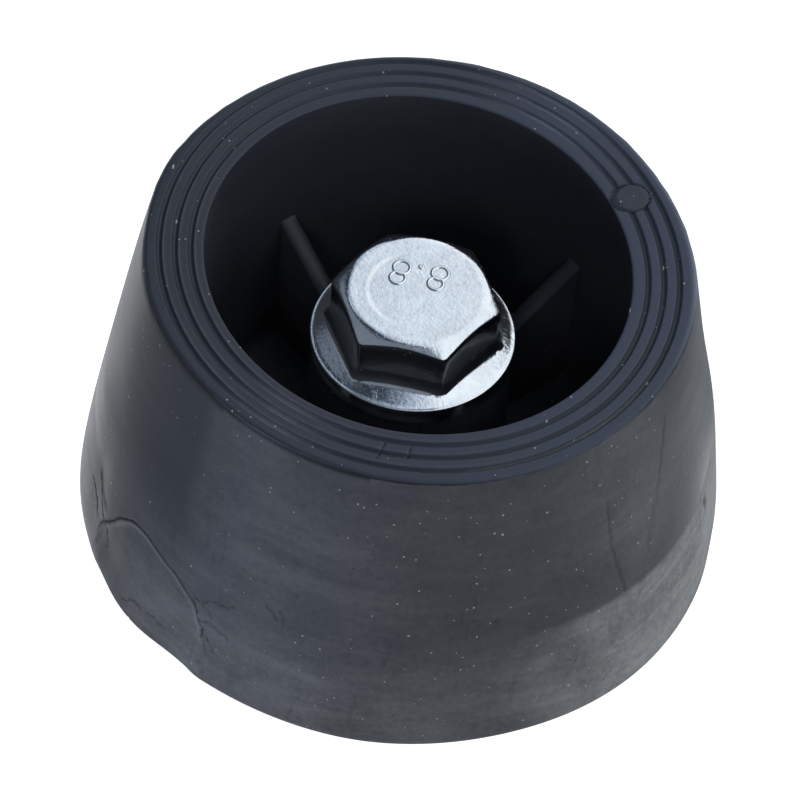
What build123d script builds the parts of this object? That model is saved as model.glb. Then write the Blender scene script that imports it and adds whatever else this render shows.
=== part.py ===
"""Furniture leveling foot: a hollow moulded rubber foot that swivels on an M8 flanged bolt.

Millimetres, +Z up. The origin is on the bolt's axis, in the plane where the furniture's underside
rests on the outer washer. The free thread points down, out of that plane; the ribbed ring that
stands on the floor in use faces up. From the furniture outwards, the stack on the bolt is: furniture
washer, lock nut, retaining nut, bearing washer, rubber foot with its moulded-in steel, bolt head.
"""
import os
from math import cos, pi, radians, tan

from build123d import *

# Rubber foot: outside
FOOT_HEIGHT = 31.2          # mounting face to the floor lands
BASE_RADIUS = 28.7          # wide mounting end
BASE_ROUND = 1.2            # round of the wide bottom edge
UPRIGHT_HEIGHT = 5.0        # the side leaves the base upright, and leans in above this height
RIM_RADIUS = 23.65          # floor end
RIM_BEVEL = 0.45            # bevel round the floor end

# Rubber foot: floor ring
RECESS_RADIUS = 18.55       # mouth of the recess
RECESS_DRAFT = 1.5          # degrees, moulding draft of the recess and the boss
MOUTH_ROUND = 0.3
GROOVE_COUNT = 3
FIRST_GROOVE_RADIUS = 19.75
GROOVE_PITCH = 1.35
GROOVE_WIDTH = 0.55
GROOVE_DEPTH = 0.5
EJECTOR_RADIUS = 1.65       # flush round mark that interrupts the grooves
EJECTOR_ORBIT = 20.3
EJECTOR_AZIMUTH = 28.4      # degrees from +X

# Rubber foot: inside of the recess
WEB_THICKNESS = 5.0         # rubber floor between the recess and the mounting face
SEAT_HEIGHT = 19.9          # mounting face to the face under the bolt head
BOSS_RADIUS = 8.7           # at the seat
ROOT_ROUND = 1.2            # rounds where the boss and the wall meet the web
RIB_COUNT = 4
RIB_AZIMUTH = 41.0          # degrees from +X to the first rib
RIB_THICKNESS = 1.75
RIB_WALL_HEIGHT = 19.4      # rib top at the wall, above the mounting face
RIB_SLOPE = 32.0            # degrees that the rib's top falls towards the boss
RIB_BITE = 0.8              # how far a rib runs into the wall, the boss and the web

# Steel moulded into the rubber
SEAT_WASHER_RADIUS = 7.8
SEAT_WASHER_THICKNESS = 1.5
SLEEVE_RADIUS = 5.6
BASE_WASHER_RADIUS = 16.0
BASE_WASHER_THICKNESS = 2.0

# M8 x 1.25 flanged bolt
BOLT_LENGTH = 50.0          # under the head
JOURNAL_RADIUS = 4.0        # plain shank that the foot turns on
THREAD_MAJOR_RADIUS = 3.96  # crests of the free thread
THREAD_PITCH_RADIUS = 3.594 # where the threads of bolt and retaining nut meet
POINT_CHAMFER = 1.0
FLANGE_RADIUS = 8.95
FLANGE_EDGE = 1.5           # thickness of the flange's rim
FLANGE_SLOPE = 24.0         # degrees
HEAD_HEIGHT = 7.2           # bearing face to the top of the head
HEAD_TOP_RADIUS = 5.92      # flat disc inside the corner chamfer
HEAD_CHAMFER = 30.0         # degrees
HEAD_AZIMUTH = -7.5         # degrees from +X to a corner
HEAD_DISH_RADIUS = 4.3      # shallow dish in the top
HEAD_DISH_DEPTH = 0.12
ACROSS_FLATS = 13.0         # bolt head and both nuts

# Washers and nuts on the stud
WASHER_RADIUS = 8.0
WASHER_THICKNESS = 1.6
LOCK_NUT_HEIGHT = 4.0
RETAINING_NUT_HEIGHT = 8.0
NYLON_COLLAR_HEIGHT = 2.1   # round crimped end of the retaining nut
NYLON_COLLAR_RADIUS = 5.75
NYLON_RADIUS = 5.1
NYLON_THICKNESS = 1.5
CRIMP_THICKNESS = 0.3       # lip that holds the nylon in
NUT_CHAMFER = 30.0          # degrees

# Clearances
AXIAL_PLAY = 0.1            # foot between the bolt head and the bearing washer
JOURNAL_CLEARANCE = 0.08    # radial, shank in sleeve
BORE_CLEARANCE = 0.3        # radial, shank in washers
THREAD_CLEARANCE = 0.05     # radial, lock nut on the free thread

# Levels, from the furniture plane up
LOCK_NUT_Z = WASHER_THICKNESS
RETAINING_NUT_Z = LOCK_NUT_Z + LOCK_NUT_HEIGHT
BEARING_WASHER_Z = RETAINING_NUT_Z + RETAINING_NUT_HEIGHT
FOOT_Z = BEARING_WASHER_Z + WASHER_THICKNESS + AXIAL_PLAY / 2
WEB_Z = FOOT_Z + WEB_THICKNESS
SEAT_Z = FOOT_Z + SEAT_HEIGHT
FLOOR_Z = FOOT_Z + FOOT_HEIGHT
HEAD_Z = SEAT_Z + AXIAL_PLAY / 2
HEAD_TOP_Z = HEAD_Z + HEAD_HEIGHT
TIP_Z = HEAD_Z - BOLT_LENGTH


def ring(outer, inner, bottom, height):
    """Flat washer or plain tube on the bolt's axis."""
    section = Pos(0, 0, bottom) * (Circle(outer) - Circle(inner))
    return extrude(section, height)


def turned(points):
    """Solid of revolution from (radius, height) points."""
    outline = Polyline(*[(r, 0, z) for r, z in points], close=True)
    return revolve(make_face(outline), Axis.Z)


def corner_cone(top_radius, top_z, bottom_z, slope):
    """Cone that trims the corners of a hexagon: top_radius at top_z, opening downwards."""
    run = (top_z - bottom_z) / tan(radians(slope))
    return turned([(0, bottom_z), (top_radius + run, bottom_z), (top_radius, top_z), (0, top_z)])


def hexagon(bottom, height, azimuth=0.0):
    """Hexagonal prism across the wrench flats, with a corner at azimuth."""
    corner = ACROSS_FLATS / 2 / cos(pi / 6)
    return extrude(Pos(0, 0, bottom) * Rot(0, 0, azimuth) * RegularPolygon(corner, 6), height)


def wall_radius(z):
    """Inside radius of the recess at a height."""
    return RECESS_RADIUS - (FLOOR_Z - z) * tan(radians(RECESS_DRAFT))


def boss_radius(z):
    """Outside radius of the boss at a height."""
    return BOSS_RADIUS + (SEAT_Z - z) * tan(radians(RECESS_DRAFT))


def groove_radii():
    """Mean radius of each groove in the floor ring."""
    return [FIRST_GROOVE_RADIUS + GROOVE_PITCH * i for i in range(GROOVE_COUNT)]


def floor_ring_points():
    """Outline of the lands and grooves, from the recess outwards."""
    points = [(RECESS_RADIUS, FLOOR_Z)]
    half = GROOVE_WIDTH / 2
    for radius in groove_radii():
        bottom = FLOOR_Z - GROOVE_DEPTH
        points += [(radius - half, FLOOR_Z), (radius - half / 2, bottom)]
        points += [(radius + half / 2, bottom), (radius + half, FLOOR_Z)]
    return points + [(RIM_RADIUS - RIM_BEVEL, FLOOR_Z), (RIM_RADIUS, FLOOR_Z - RIM_BEVEL)]


def foot_section():
    """Half section of the rubber, with the pockets for the moulded-in steel."""
    inside = [
        (BASE_RADIUS, FOOT_Z),
        (BASE_WASHER_RADIUS, FOOT_Z),
        (BASE_WASHER_RADIUS, FOOT_Z + BASE_WASHER_THICKNESS),
        (SLEEVE_RADIUS, FOOT_Z + BASE_WASHER_THICKNESS),
        (SLEEVE_RADIUS, SEAT_Z - SEAT_WASHER_THICKNESS),
        (SEAT_WASHER_RADIUS, SEAT_Z - SEAT_WASHER_THICKNESS),
        (SEAT_WASHER_RADIUS, SEAT_Z),
        (BOSS_RADIUS, SEAT_Z),
        (boss_radius(WEB_Z), WEB_Z),
        (wall_radius(WEB_Z), WEB_Z),
    ]
    upright = (BASE_RADIUS, FOOT_Z + UPRIGHT_HEIGHT)
    points = [Vector(r, 0, z) for r, z in inside + floor_ring_points()]
    side = Bezier(points[-1], Vector(upright[0], 0, upright[1]), points[0])
    section = make_face(Polyline(*points) + side)
    rounds = [((BASE_RADIUS, FOOT_Z), BASE_ROUND), ((boss_radius(WEB_Z), WEB_Z), ROOT_ROUND),
              ((wall_radius(WEB_Z), WEB_Z), ROOT_ROUND), ((RECESS_RADIUS, FLOOR_Z), MOUTH_ROUND)]
    for (r, z), radius in rounds:
        corner = section.vertices().sort_by_distance((r, 0, z))[0]
        section = fillet(corner, radius)
    return section


def rib():
    """One gusset, on +X, from the boss to the wall, its top falling towards the boss."""
    inner = boss_radius(WEB_Z) - RIB_BITE
    wall = wall_radius(FOOT_Z + RIB_WALL_HEIGHT)
    outer = wall + RIB_BITE
    top = FOOT_Z + RIB_WALL_HEIGHT
    fall = tan(radians(RIB_SLOPE))
    outline = Polyline(
        (inner, 0, WEB_Z - RIB_BITE),
        (outer, 0, WEB_Z - RIB_BITE),
        (outer, 0, top + RIB_BITE * fall),
        (inner, 0, top - (wall - inner) * fall),
        close=True,
    )
    return extrude(make_face(outline), RIB_THICKNESS / 2, both=True)


def rubber_foot():
    """Moulded rubber cup: floor ring, boss with its gussets, mounting face."""
    body = revolve(foot_section(), Axis.Z)
    for i in range(RIB_COUNT):
        body += Rot(0, 0, RIB_AZIMUTH + 360 / RIB_COUNT * i) * rib()
    mark = Pos(EJECTOR_ORBIT, 0, FLOOR_Z - GROOVE_DEPTH) * extrude(Circle(EJECTOR_RADIUS), GROOVE_DEPTH)
    return body + Rot(0, 0, EJECTOR_AZIMUTH) * mark


def seat_washer():
    """Steel ring in the top of the boss that the bolt's flange turns on."""
    inner = JOURNAL_RADIUS + BORE_CLEARANCE
    return ring(SEAT_WASHER_RADIUS, inner, SEAT_Z - SEAT_WASHER_THICKNESS, SEAT_WASHER_THICKNESS)


def spacer_sleeve():
    """Steel tube that carries the bolt's load past the rubber and is the foot's bearing."""
    bottom = FOOT_Z + BASE_WASHER_THICKNESS
    height = SEAT_Z - SEAT_WASHER_THICKNESS - bottom
    return ring(SLEEVE_RADIUS, JOURNAL_RADIUS + JOURNAL_CLEARANCE, bottom, height)


def base_washer():
    """Wide steel disc moulded flush into the mounting face."""
    return ring(BASE_WASHER_RADIUS, JOURNAL_RADIUS + BORE_CLEARANCE, FOOT_Z, BASE_WASHER_THICKNESS)


def bolt_head():
    """Hexagon with chamfered corners on a conical flange."""
    cone_top = HEAD_Z + FLANGE_EDGE + FLANGE_RADIUS * tan(radians(FLANGE_SLOPE))
    flange = turned([(0, HEAD_Z), (FLANGE_RADIUS, HEAD_Z), (FLANGE_RADIUS, HEAD_Z + FLANGE_EDGE), (0, cone_top)])
    flange &= Pos(0, 0, HEAD_Z) * extrude(Circle(2 * FLANGE_RADIUS), HEAD_HEIGHT / 2)
    hexagonal = hexagon(HEAD_Z, HEAD_HEIGHT, HEAD_AZIMUTH)
    hexagonal &= corner_cone(HEAD_TOP_RADIUS, HEAD_TOP_Z, HEAD_Z, HEAD_CHAMFER)
    dish = Pos(0, 0, HEAD_TOP_Z - HEAD_DISH_DEPTH) * extrude(Circle(HEAD_DISH_RADIUS), HEAD_DISH_DEPTH)
    return flange + hexagonal - dish


def flange_bolt():
    """Head, journal inside the foot, threaded stud with a chamfered point."""
    point = THREAD_MAJOR_RADIUS - POINT_CHAMFER
    stem = turned([
        (0, TIP_Z), (point, TIP_Z), (THREAD_MAJOR_RADIUS, TIP_Z + POINT_CHAMFER), (THREAD_MAJOR_RADIUS, 0),
        (THREAD_PITCH_RADIUS, 0), (THREAD_PITCH_RADIUS, BEARING_WASHER_Z), (JOURNAL_RADIUS, BEARING_WASHER_Z),
        (JOURNAL_RADIUS, HEAD_Z), (0, HEAD_Z),
    ])
    return bolt_head() + stem


def washer(bottom):
    """Plain M8 washer."""
    return ring(WASHER_RADIUS, JOURNAL_RADIUS + BORE_CLEARANCE, bottom, WASHER_THICKNESS)


def chamfered_hexagon(bottom, height, both_ends):
    """Nut blank with its corners turned off at the lower end, or at both ends."""
    flat = ACROSS_FLATS / 2
    blank = hexagon(bottom, height)
    blank &= corner_cone(flat, bottom + height, bottom, NUT_CHAMFER)
    if both_ends:
        middle = bottom + height / 2
        blank &= mirror(corner_cone(flat, bottom + height, bottom, NUT_CHAMFER), Plane.XY.offset(middle))
    return blank


def lock_nut():
    """Thin nut that is run down the stud and tightened against the furniture."""
    blank = chamfered_hexagon(LOCK_NUT_Z, LOCK_NUT_HEIGHT, both_ends=True)
    bore = THREAD_MAJOR_RADIUS + THREAD_CLEARANCE
    return blank - Pos(0, 0, LOCK_NUT_Z) * extrude(Circle(bore), LOCK_NUT_HEIGHT)


def nylon_insert():
    """Nylon ring that grips the thread, so that the retaining nut stays where it was set."""
    bottom = RETAINING_NUT_Z + CRIMP_THICKNESS
    return ring(NYLON_RADIUS, THREAD_PITCH_RADIUS, bottom, NYLON_THICKNESS)


def retaining_nut():
    """Self-locking nut: hexagon towards the foot, crimped collar with the nylon towards the tip."""
    hex_bottom = RETAINING_NUT_Z + NYLON_COLLAR_HEIGHT
    blank = chamfered_hexagon(hex_bottom, RETAINING_NUT_HEIGHT - NYLON_COLLAR_HEIGHT, both_ends=True)
    collar = ring(NYLON_COLLAR_RADIUS, THREAD_PITCH_RADIUS, RETAINING_NUT_Z, NYLON_COLLAR_HEIGHT)
    body = blank + collar
    body -= Pos(0, 0, hex_bottom) * extrude(Circle(THREAD_PITCH_RADIUS), RETAINING_NUT_HEIGHT)
    pocket_bottom = RETAINING_NUT_Z + CRIMP_THICKNESS
    body -= Pos(0, 0, pocket_bottom) * extrude(Circle(NYLON_RADIUS), NYLON_THICKNESS)
    lip_bore = (THREAD_MAJOR_RADIUS + NYLON_RADIUS) / 2
    return body - Pos(0, 0, RETAINING_NUT_Z) * extrude(Circle(lip_bore), CRIMP_THICKNESS)


NODES = {
    "rubber_foot": rubber_foot(),
    "seat_washer": seat_washer(),
    "spacer_sleeve": spacer_sleeve(),
    "base_washer": base_washer(),
    "flange_bolt": flange_bolt(),
    "bearing_washer": washer(BEARING_WASHER_Z),
    "retaining_nut": retaining_nut(),
    "nylon_insert": nylon_insert(),
    "lock_nut": lock_nut(),
    "furniture_washer": washer(0),
}

os.makedirs("parts", exist_ok=True)
for name, shape in NODES.items():
    export_step(shape, f"parts/{name}.step")
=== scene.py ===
"""Looks of a furniture leveling foot: a black rubber cup that swivels on a zinc-plated flanged bolt.

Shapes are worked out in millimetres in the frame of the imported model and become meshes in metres.
Every turned or moulded piece is a grid: its rows follow a profile and its columns go round the axis.
"""
import math

import bpy
import numpy as np
from mathutils import Matrix, Vector


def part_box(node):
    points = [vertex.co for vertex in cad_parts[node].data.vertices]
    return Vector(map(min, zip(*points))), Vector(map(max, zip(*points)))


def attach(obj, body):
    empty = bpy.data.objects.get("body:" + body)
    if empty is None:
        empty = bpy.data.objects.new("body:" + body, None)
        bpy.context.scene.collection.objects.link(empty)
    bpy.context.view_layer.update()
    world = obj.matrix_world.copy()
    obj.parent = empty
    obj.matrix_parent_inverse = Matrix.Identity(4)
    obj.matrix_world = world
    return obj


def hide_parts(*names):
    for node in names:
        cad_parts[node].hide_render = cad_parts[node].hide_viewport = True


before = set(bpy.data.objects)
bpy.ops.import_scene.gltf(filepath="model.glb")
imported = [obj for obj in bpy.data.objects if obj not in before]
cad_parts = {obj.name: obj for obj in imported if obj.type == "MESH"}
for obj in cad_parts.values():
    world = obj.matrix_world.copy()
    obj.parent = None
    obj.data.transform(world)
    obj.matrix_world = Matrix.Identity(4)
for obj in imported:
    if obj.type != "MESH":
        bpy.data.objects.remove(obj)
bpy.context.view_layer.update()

MM = 0.001
SHARP_EDGE = math.radians(35)


def levels(node):
    """Lowest and highest level of a CAD node, and its largest radius, in millimetres."""
    low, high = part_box(node)
    return low.z / MM, high.z / MM, high.x / MM


# Places that the frame gives
FOOT_LOW, FLOOR_FACE, _ = levels("rubber_foot")
TIP, HEAD_TOP, _ = levels("flange_bolt")
SEAT_WASHER_LOW, SEAT_HIGH, SEAT_WASHER = levels("seat_washer")
BASE_WASHER_HIGH, BASE_WASHER = levels("base_washer")[1:]
SLEEVE = levels("spacer_sleeve")[2]
NYLON_RADIUS = levels("nylon_insert")[2]
FOOT_HEIGHT = FLOOR_FACE - FOOT_LOW
SEAT = SEAT_HIGH - FOOT_LOW

# Rubber foot, heights above its mounting face
BASE_ROUND = 1.2
UPRIGHT = 5.0
SIDE_RADIUS = 28.7
RIM_RADIUS = 23.65
RIM_HEIGHT = FOOT_HEIGHT - 0.5
RIM_ROUND = 0.45
RIM_LEAN = 11.0                        # degrees that the side leans in where the round starts
RECESS_RADIUS = 18.5
MOUTH_ROUND = 0.18
DRAFT = math.tan(math.radians(1.5))
WEB = 5.0
ROOT_ROUND = 1.2
BOSS_RADIUS = 8.7
BOSS_ROUND = 0.2
GROOVES = (19.75, 21.1, 22.45)
# Section of one groove, as (distance outwards from its middle, depth)
GROOVE_SECTION = (
    (-0.32, 0), (-0.26, 0.05), (-0.20, 0.17), (-0.10, 0.26), (0, 0.28),
    (0.10, 0.26), (0.20, 0.17), (0.26, 0.05), (0.32, 0),
)
MARK_ORBIT = 20.3
MARK_AZIMUTH = 28.4
MARK_ALONG, MARK_ACROSS = 1.75, 1.56   # half lengths of the ejector mark, along a radius and across it
# The set that the floor end has taken under load
SETTLE_X, SETTLE_Y = -0.018, 0.0205    # slope of the floor face
OVAL, OVAL_AZIMUTH = 0.32, 120.0       # it is longer one way than the other
MOUTH_SHIFT, MOUTH_SHIFT_AZIMUTH = 0.15, 225.0   # its mouth has moved this far that way
DROOP_AZIMUTH = 112.0                  # the outer land has rolled over there
DROOP_IN, DROOP_DOWN = 0.3, 0.4

MARKED_RADIUS = 28.0                   # about the radius of the side where its marks lie

RIBS = 4
RIB_AZIMUTH = 41.0
RIB_THICKNESS = 1.75
RIB_AT_WALL = 19.4
RIB_FALL = math.tan(math.radians(32))
RIB_BITE = 0.6         # how far a rib runs into the boss and the wall

# Fold of rubber low on the side, as (azimuth, height) along its upper edge
FOLD_EDGE = (
    (203.5, 3.0), (205.2, 6.4), (208.0, 7.7), (210.9, 9.8), (213.5, 11.1), (216.3, 11.9),
    (219.7, 12.1), (222.7, 11.7), (225.6, 11.2), (228.2, 10.9), (230.9, 10.1), (233.4, 9.2),
    (234.6, 8.4), (236.0, 6.9), (237.4, 4.5), (239.0, 1.0),
)
FOLD_SPAN = (194, 244)                 # azimuths between which the fold and its cracks lie
FOLD_TOP = 14
# Thin creases and cracks beside the fold, as (azimuth, height) points
CRACKS = (
    ((196.4, 7.5), (200.7, 6.8), (203.0, 5.6)),
    ((199.6, 9.6), (202.8, 8.0), (205.8, 6.9)),
    ((206.4, 6.5), (208.1, 6.1), (208.2, 4.4)),
    ((216.9, 2.4), (219.0, 3.4), (221.3, 3.7), (221.9, 3.4)),
    ((217.5, 0.6), (220.0, 0.9), (221.9, 1.1)),
    ((223.3, 3.5), (225.2, 3.7), (227.2, 3.4)),
    ((233.5, 9.7), (237.3, 10.7), (241.6, 11.4)),
    ((235.5, 10.0), (236.4, 9.4), (237.7, 8.8)),
    ((235.4, 7.8), (237.6, 8.2), (239.4, 8.0), (241.1, 7.8), (241.6, 7.4)),
    ((236.2, 6.8), (237.4, 6.3), (239.0, 5.2)),
)
# Scuffs further round, and as the last one painted shade above the fold's left end, as (darkness, half
# width, path of (azimuth, height) points)
SCUFFS_AND_SHADE = (
    (0.42, 0.15, ((314.2, 23.4), (315.0, 18.0), (317.6, 11.9))),
    (0.26, 0.24, ((332.2, 27.4), (329.0, 20.8), (324.2, 15.0))),
    (0.55, 0.11, ((247.6, 13.4), (249.2, 12.9), (250.3, 12.3))),
    (0.55, 0.10, ((250.2, 13.3), (251.6, 12.7))),
    (0.50, 0.13, ((285.8, 14.9), (288.4, 14.3), (291.2, 14.4))),
    (0.55, 0.12, ((314.6, 6.2), (316.4, 6.6))),
    (0.75, 0.42, ((347.4, 9.8), (348.6, 8.6))),
    (0.30, 0.50, ((200.2, 10.0), (202.6, 8.9), (205.4, 8.6))),
)
# Short cracks across the lands of the floor face, as (radius, azimuth) ends
LAND_CRACKS = (
    ((20.0, 266.0), (21.3, 264.9)),
    ((21.5, 265.1), (22.0, 264.2)),
    ((20.3, 271.9), (21.2, 271.4)),
)

# Bolt and nuts
COLUMNS = 144
ACROSS_FLATS = 13.0
CORNER_RADIUS = 7.42
HEAD_AZIMUTH = -7.0
HEAD_DISC = 5.92
CHAMFER = math.tan(math.radians(30))
HEAD_SEAT = SEAT_HIGH + 0.05
FLANGE_RADIUS = 8.95
FLANGE_EDGE = 1.6
FLANGE_SLOPE = math.tan(math.radians(21))
HEAD_FLARE = 0.46      # the wrench flats curve outwards at their foot
FLARE_HEIGHT = 1.4
JOURNAL_RADIUS = 4.0
THREAD_RADIUS = 3.96
THREAD_DEPTH = 0.77
THREAD_PITCH = 1.25
THREAD_TOP = 6.5
SHANK_RADIUS = 3.55    # plain part between the thread and the journal
JOURNAL_START = 13.7
WASHER_BORE = 4.3
LOCK_NUT_BORE = 4.01
GRIP_BORE = 3.62       # retaining nut, where its thread grips
COLLAR_RADIUS = 5.75   # round end of the retaining nut, crimped over the nylon
COLLAR_HEIGHT = 2.1
COLLAR_LIP = 4.6


# ---------------------------------------------------------------- shapes

def smooth(x, low, high):
    """0 below low, 1 above high, and a smooth step between."""
    t = np.clip((x - low) / (high - low), 0, 1)
    return t * t * (3 - 2 * t)


def bell(away, reach):
    """1 where away is 0, falling off smoothly within a reach on either side."""
    return np.exp(-((away / reach) ** 2))


def around(azimuth, middle, reach):
    """1 at an azimuth, falling off within a reach in degrees on either side."""
    return bell((azimuth - middle + 180) % 360 - 180, reach)


def facing(azimuth, middle):
    """1 at an azimuth, 0 a quarter turn away and -1 on the far side."""
    return np.cos(np.radians(azimuth - middle))


def line(start, end, step):
    """Evenly spaced points from start towards end, the end left out."""
    count = max(1, round(math.dist(start, end) / step))
    return [tuple(np.add(start, np.subtract(end, start) * i / count)) for i in range(count)]


def arc(centre, radius, start, end, count=6):
    """Points on an arc between two angles in degrees, the end left out."""
    angles = [math.radians(start + (end - start) * i / count) for i in range(count)]
    return [(centre[0] + radius * math.cos(a), centre[1] + radius * math.sin(a)) for a in angles]


def turned_grid(profile, angles):
    """Points [row, column] of a profile of (radius, height) turned to each angle in degrees."""
    profile = np.array(profile)
    a = np.radians(angles)
    radius, height = profile[:, :1], profile[:, 1:]
    ones = np.ones_like(a)
    return np.stack([radius * np.cos(a), radius * np.sin(a), height * ones], axis=-1)


def grid_mesh(name, points, closed):
    """Watertight mesh from points[row, column]. Rows close into a ring, or end in a pole at each end."""
    rows, columns = points.shape[:2]
    index = np.arange(rows * columns).reshape(rows, columns)
    lower = index if closed else index[:-1]
    upper = np.roll(index, -1, axis=0) if closed else index[1:]
    quads = np.stack([lower, np.roll(lower, -1, axis=1), np.roll(upper, -1, axis=1), upper], axis=-1)
    faces = quads.reshape(-1, 4).tolist()
    vertices = points.reshape(-1, 3).tolist()
    if not closed:
        for row, first in ((0, True), (rows - 1, False)):
            pole = len(vertices)
            vertices.append(points[row].mean(axis=0).tolist())
            ring = index[row].tolist()
            for a, b in zip(ring, ring[1:] + ring[:1]):
                faces.append((b, a, pole) if first else (a, b, pole))
    mesh = bpy.data.meshes.new(name)
    mesh.from_pydata((np.array(vertices) * MM).tolist(), [], faces)
    mesh.update()
    mesh.shade_smooth()
    mesh.set_sharp_from_angle(angle=SHARP_EDGE)
    piece = bpy.data.objects.new(name, mesh)
    bpy.context.scene.collection.objects.link(piece)
    return piece


def unite(piece, others):
    """Joins closed solids to a piece, and deletes them."""
    for other in others:
        union = piece.modifiers.new("union", "BOOLEAN")
        union.operation = "UNION"
        union.solver = "MANIFOLD"
        union.object = other
    bpy.context.view_layer.update()
    evaluated = piece.evaluated_get(bpy.context.evaluated_depsgraph_get())
    mesh = bpy.data.meshes.new_from_object(evaluated)
    piece.modifiers.clear()
    piece.data = mesh
    for other in others:
        bpy.data.objects.remove(other)


def settle(piece, body, material, node):
    """Puts a finished piece on its body, gives it its material and lets it stand for its CAD node."""
    piece.data.materials.clear()
    piece.data.materials.append(material)
    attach(piece, body)
    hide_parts(node)


# ---------------------------------------------------------------- rubber foot

def side_radius(height):
    """Radius of the moulded side at a height above the mounting face, its rounded lower edge included."""
    lean = RIM_HEIGHT - 2 * UPRIGHT
    t = (-UPRIGHT + np.sqrt(UPRIGHT ** 2 + lean * height)) / lean
    radius = SIDE_RADIUS - (SIDE_RADIUS - RIM_RADIUS) * t ** 2
    below = np.clip(BASE_ROUND - height, 0, BASE_ROUND)
    return radius - (BASE_ROUND - np.sqrt(BASE_ROUND ** 2 - below ** 2))


def groove_depth(radius):
    """Depth of the three round-bottomed grooves under the lands of the floor face."""
    across, depth = zip(*GROOVE_SECTION)
    return sum(np.interp(radius - centre, across, depth) for centre in GROOVES)


def floor_face_radii():
    """Radii sampled across the floor face from the rim inwards, close together at the grooves."""
    radii = [rim_centre()[0]]
    section = [across for across, _ in GROOVE_SECTION]
    for centre in reversed(GROOVES):
        radii += list(np.linspace(radii[-1], centre + section[-1] + 0.04, 4)[1:])
        radii += [centre + across for across in reversed(section)]
        radii.append(centre + section[0] - 0.04)
    radii += list(np.linspace(radii[-1], RECESS_RADIUS + MOUTH_ROUND, 4)[1:])
    return radii


def rim_centre():
    """Middle of the round between the side and the floor face, as (radius, height)."""
    lean = math.radians(RIM_LEAN)
    start = FOOT_HEIGHT - RIM_ROUND * (1 - math.sin(lean))
    return float(side_radius(np.array(start))) - RIM_ROUND * math.cos(lean), FOOT_HEIGHT - RIM_ROUND


def foot_profile():
    """Closed profile of the rubber as (radius, height above the mounting face), up the side first."""
    wall = RECESS_RADIUS - (FOOT_HEIGHT - WEB) * DRAFT
    boss = BOSS_RADIUS + (SEAT - WEB) * DRAFT
    heights = [*np.arange(0.0, 13.4, 0.14), *np.arange(13.4, RIM_HEIGHT - 0.1, 0.45)]
    profile = [(float(side_radius(np.array(h))), h) for h in heights]
    profile += arc(rim_centre(), RIM_ROUND, RIM_LEAN, 90, 9)
    profile += [(r, FOOT_HEIGHT) for r in floor_face_radii()]
    mouth = (RECESS_RADIUS + MOUTH_ROUND, FOOT_HEIGHT - MOUTH_ROUND)
    profile += arc(mouth, MOUTH_ROUND, 90, 180, 4)[1:]
    profile += line((RECESS_RADIUS, FOOT_HEIGHT - MOUTH_ROUND), (wall, WEB + ROOT_ROUND), 1.0)
    profile += arc((wall - ROOT_ROUND, WEB + ROOT_ROUND), ROOT_ROUND, 0, -90)
    profile += line((wall - ROOT_ROUND, WEB), (boss + ROOT_ROUND, WEB), 0.9)
    profile += arc((boss + ROOT_ROUND, WEB + ROOT_ROUND), ROOT_ROUND, -90, -180)
    profile += line((boss, WEB + ROOT_ROUND), (BOSS_RADIUS, SEAT - BOSS_ROUND), 1.0)
    profile += arc((BOSS_RADIUS - BOSS_ROUND, SEAT - BOSS_ROUND), BOSS_ROUND, 0, 90, 3)
    profile += pocket_profile()
    profile += line((BASE_WASHER, 0), (SIDE_RADIUS - BASE_ROUND, 0), 1.0)
    return profile


def pocket_profile():
    """Inside of the rubber where the steel is moulded in, from the seat down to the mounting face."""
    washer, base = SEAT_WASHER_LOW - FOOT_LOW, BASE_WASHER_HIGH - FOOT_LOW
    return [
        (BOSS_RADIUS - BOSS_ROUND, SEAT), (SEAT_WASHER, SEAT), (SEAT_WASHER, washer),
        (SLEEVE, washer), (SLEEVE, base), (BASE_WASHER, base),
    ]


def foot_angles():
    """Columns of the foot in degrees, close together at the fold, the scuffs, the cracks and the mark."""
    coarse = np.arange(0, 360, 1.5)
    mark = round(MARK_AZIMUTH)
    close = [(195, 243), (246, 253), (262, 273), (284, 293), (312, 334), (345, 351), (mark - 6, mark + 6)]
    fine = [np.arange(start, end, 0.25) for start, end in close]
    return np.unique(np.round(np.concatenate([coarse, *fine]), 3))


def distance_to_path(azimuth, height, path):
    """Distance in millimetres, along the side, from each point to a path of (azimuth, height) points."""
    u = np.radians(azimuth) * MARKED_RADIUS
    best = np.full(u.shape, 1e9)
    points = [(math.radians(a) * MARKED_RADIUS, h) for a, h in path]
    for (u0, h0), (u1, h1) in zip(points, points[1:]):
        du, dh = u1 - u0, h1 - h0
        t = np.clip(((u - u0) * du + (height - h0) * dh) / (du * du + dh * dh), 0, 1)
        best = np.minimum(best, np.hypot(u - u0 - t * du, height - h0 - t * dh))
    return best


def rounded(path):
    """Cuts the corners of a path of points twice."""
    points = np.array(path)
    for _ in range(2):
        before, after = points[:-1], points[1:]
        cuts = np.stack([0.75 * before + 0.25 * after, 0.25 * before + 0.75 * after], axis=1)
        points = np.concatenate([points[:1], cuts.reshape(-1, 2), points[-1:]])
    return points


FOLD_PATH = rounded(FOLD_EDGE)


def fold_height(azimuth):
    """Height of the fold's edge at an azimuth, and -1 beyond its ends."""
    return np.interp(azimuth, FOLD_PATH[:, 0], FOLD_PATH[:, 1], left=-1, right=-1)


def ripple(azimuth, height):
    """Slow unevenness of the moulded side, between about -1 and 1."""
    a = np.radians(azimuth)
    slow = 0.5 * np.sin(3 * a + 0.21 * height) + 0.3 * np.sin(7 * a - 0.35 * height + 1.3)
    return slow + 0.2 * np.sin(11 * a + 0.6 * height)


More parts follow.
